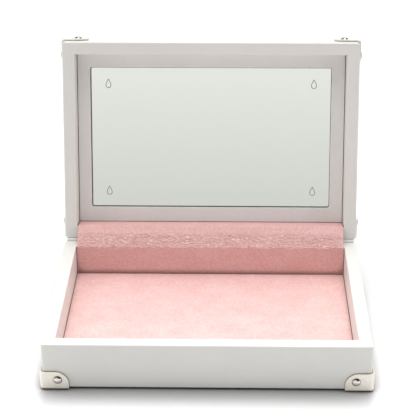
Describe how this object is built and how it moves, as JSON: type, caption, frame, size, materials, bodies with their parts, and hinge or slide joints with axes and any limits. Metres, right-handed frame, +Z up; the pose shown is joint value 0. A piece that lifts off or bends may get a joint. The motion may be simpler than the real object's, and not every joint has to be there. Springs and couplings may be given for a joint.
{
  "type": "travel jewelry case",
  "caption": "Rigid white leather case with metal corner guards, a mirror in its hinged lid and a padded pink microsuede tray for jewelry.",
  "frame": {"origin": "under the middle of the base, on the surface that the case's corner guards stand on", "axes": "+X to the case's right, -Y to its front where the lid opens, +Z up; the lid is stored open, 105 degrees from shut"},
  "size_m": [0.2466, 0.2333, 0.1951],
  "materials": {
    "white_leather": "satin",
    "pink_microsuede": "matte",
    "foam": "matte",
    "wood_board": "matte",
    "guard_metal": "satin",
    "nail_metal": "polished",
    "magnet_metal": "satin",
    "mirror_silver": "polished",
    "backing_card": "matte"
  },
  "bodies": {
    "base": {"base_leather_wrap": "white_leather", "base_underside_panel": "white_leather", "base_floor_board": "wood_board", "base_front_board": "wood_board", "base_back_board": "wood_board", "base_left_board": "wood_board", "base_right_board": "wood_board", "base_magnets": "magnet_metal", "base_floor_foam": "foam", "base_floor_lining": "pink_microsuede", "base_back_lining": "pink_microsuede", "base_guard_front_left": "guard_metal", "base_guard_front_right": "guard_metal", "base_guard_back_left": "guard_metal", "base_guard_back_right": "guard_metal", "base_guard_nails": "nail_metal", "hinge_strip_base": "white_leather", "hinge_strip_fold": "white_leather", "hinge_gusset": "pink_microsuede"},
    "lid": {"lid_leather_wrap": "white_leather", "lid_top_panel": "white_leather", "lid_top_board": "wood_board", "lid_front_board": "wood_board", "lid_back_board": "wood_board", "lid_left_board": "wood_board", "lid_right_board": "wood_board", "lid_magnets": "magnet_metal", "lid_back_lining": "pink_microsuede", "lid_mat": "white_leather", "lid_guard_front_left": "guard_metal", "lid_guard_front_right": "guard_metal", "lid_guard_back_left": "guard_metal", "lid_guard_back_right": "guard_metal", "lid_guard_nails": "nail_metal", "mirror_glass": "mirror_silver", "mirror_backing": "backing_card", "hinge_strip_lid": "white_leather"}
  },
  "joints": [
    {"name": "lid_hinge", "type": "hinge", "parent": "base", "child": "lid", "pos_m": [0, 0.08175, 0.0385], "axis": [1, 0, 0], "range_deg": [0, 105], "deforming": ["hinge_gusset"]}
  ]
}
